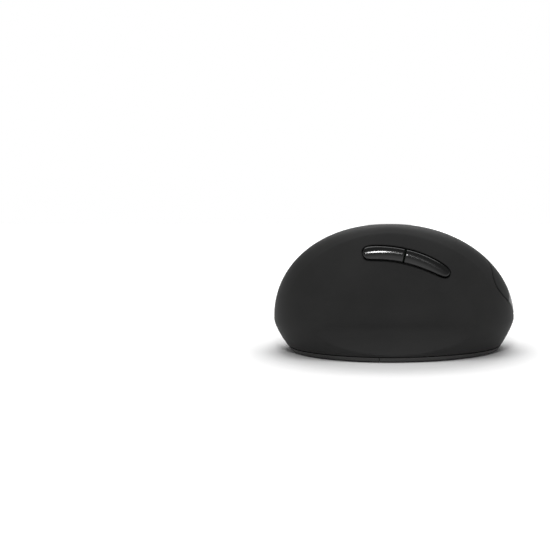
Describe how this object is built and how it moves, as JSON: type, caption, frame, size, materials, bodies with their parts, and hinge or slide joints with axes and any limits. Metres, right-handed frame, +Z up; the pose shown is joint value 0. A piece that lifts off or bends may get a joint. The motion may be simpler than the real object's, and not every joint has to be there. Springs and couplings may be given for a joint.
{
  "type": "vertical computer mouse",
  "caption": "Left-handed vertical mouse with a thumb hollow, two thumb buttons, finger keys, a scroll wheel and a sliding battery door.",
  "frame": {"origin": "centre of the footprint at the desk plane", "axes": "+X to the nose, -Y to the thumb side, +Y to the finger side, +Z up"},
  "size_m": [0.1084, 0.072, 0.0578],
  "materials": {
    "soft_touch": "soft-touch charcoal, fine grain",
    "gloss_black": "polished black",
    "base_black": "fine sparked texture",
    "tyre_rubber": "ribbed rubber",
    "wheel_plastic": "satin",
    "inner_plastic": "natural moulded plastic",
    "switch_black": "moulded",
    "stem_plastic": "moulded",
    "clear_plastic": "clear",
    "board_green": "solder mask",
    "screw_steel": "zinc plated",
    "spring_steel": "nickel plated",
    "cell_case": "plain wrap",
    "glide": "low-friction pad",
    "ribbon_film": "flat ribbon"
  },
  "bodies": {
    "chassis": {"base_plate": "base_black", "main_shell": "soft_touch", "palm_panel": "soft_touch", "wheel_trim": "gloss_black", "wheel_bracket": "base_black", "wheel_switch": "switch_black", "dpi_switch": "switch_black", "indicator_lens": "clear_plastic", "side_board": "board_green", "side_switches": "switch_black", "side_board_screws": "screw_steel", "key_frame": "base_black", "key_board": "board_green", "key_switches": "switch_black", "key_board_screws": "screw_steel", "key_frame_screws": "screw_steel", "main_board": "board_green", "board_chips": "switch_black", "sensor_chip": "switch_black", "sensor_lens": "clear_plastic", "power_switch_body": "screw_steel", "main_board_screws": "screw_steel", "battery_cells": "cell_case", "battery_springs": "spring_steel", "battery_contacts": "spring_steel", "glide_feet": "glide", "case_screws": "screw_steel", "key_ribbon": "ribbon_film", "side_ribbon": "ribbon_film"},
    "index_key": {"index_key": "soft_touch", "index_plunger": "stem_plastic"},
    "middle_key": {"middle_key": "soft_touch", "middle_plunger": "stem_plastic"},
    "wheel_carrier": {"wheel_carrier": "inner_plastic", "wheel_encoder": "switch_black", "wheel_switch_stem": "stem_plastic"},
    "wheel": {"wheel_hub": "wheel_plastic", "wheel_tyre": "tyre_rubber"},
    "dpi_button": {"dpi_button": "gloss_black", "dpi_switch_stem": "stem_plastic"},
    "back_button": {"back_button": "gloss_black", "back_switch_stem": "stem_plastic"},
    "forward_button": {"forward_button": "gloss_black", "forward_switch_stem": "stem_plastic"},
    "power_slider": {"power_slider": "stem_plastic"},
    "battery_door": {"battery_door": "base_black", "door_foot": "glide"}
  },
  "joints": [
    {"name": "index_key_press", "type": "hinge", "parent": "chassis", "child": "index_key", "pos_m": [-0.00653, 0.02172, 0.03183], "axis": [0.0919, 0.5805, -0.809], "range_deg": [0, 0.4], "stiffness_Nm_per_rad": 6},
    {"name": "middle_key_press", "type": "hinge", "parent": "chassis", "child": "middle_key", "pos_m": [-0.00653, 0.02172, 0.03183], "axis": [0.0919, 0.5805, -0.809], "range_deg": [0, 0.4], "stiffness_Nm_per_rad": 6},
    {"name": "wheel_press", "type": "hinge", "parent": "chassis", "child": "wheel_carrier", "pos_m": [0.03427, 0.01403, 0.03095], "axis": [-0.0919, -0.5805, 0.809], "range_deg": [0, 1.2], "stiffness_Nm_per_rad": 2},
    {"name": "wheel_scroll", "type": "hinge", "parent": "wheel_carrier", "child": "wheel", "pos_m": [0.0179, 0.01933, 0.03289], "axis": [0.0919, 0.5805, -0.809], "continuous": true},
    {"name": "dpi_press", "type": "slide", "parent": "chassis", "child": "dpi_button", "axis": [-0.1266, -0.7991, -0.5878], "range_m": [0, 0.0004], "stiffness_N_per_m": 2000},
    {"name": "back_press", "type": "slide", "parent": "chassis", "child": "back_button", "axis": [0, 1, 0], "range_m": [0, 0.0005], "stiffness_N_per_m": 2000},
    {"name": "forward_press", "type": "slide", "parent": "chassis", "child": "forward_button", "axis": [0, 1, 0], "range_m": [0, 0.0005], "stiffness_N_per_m": 2000},
    {"name": "power_slide", "type": "slide", "parent": "chassis", "child": "power_slider", "axis": [1, 0, 0], "range_m": [0, 0.003]},
    {"name": "door_slide", "type": "slide", "parent": "chassis", "child": "battery_door", "axis": [-1, 0, 0], "range_m": [0, 0.005]}
  ]
}
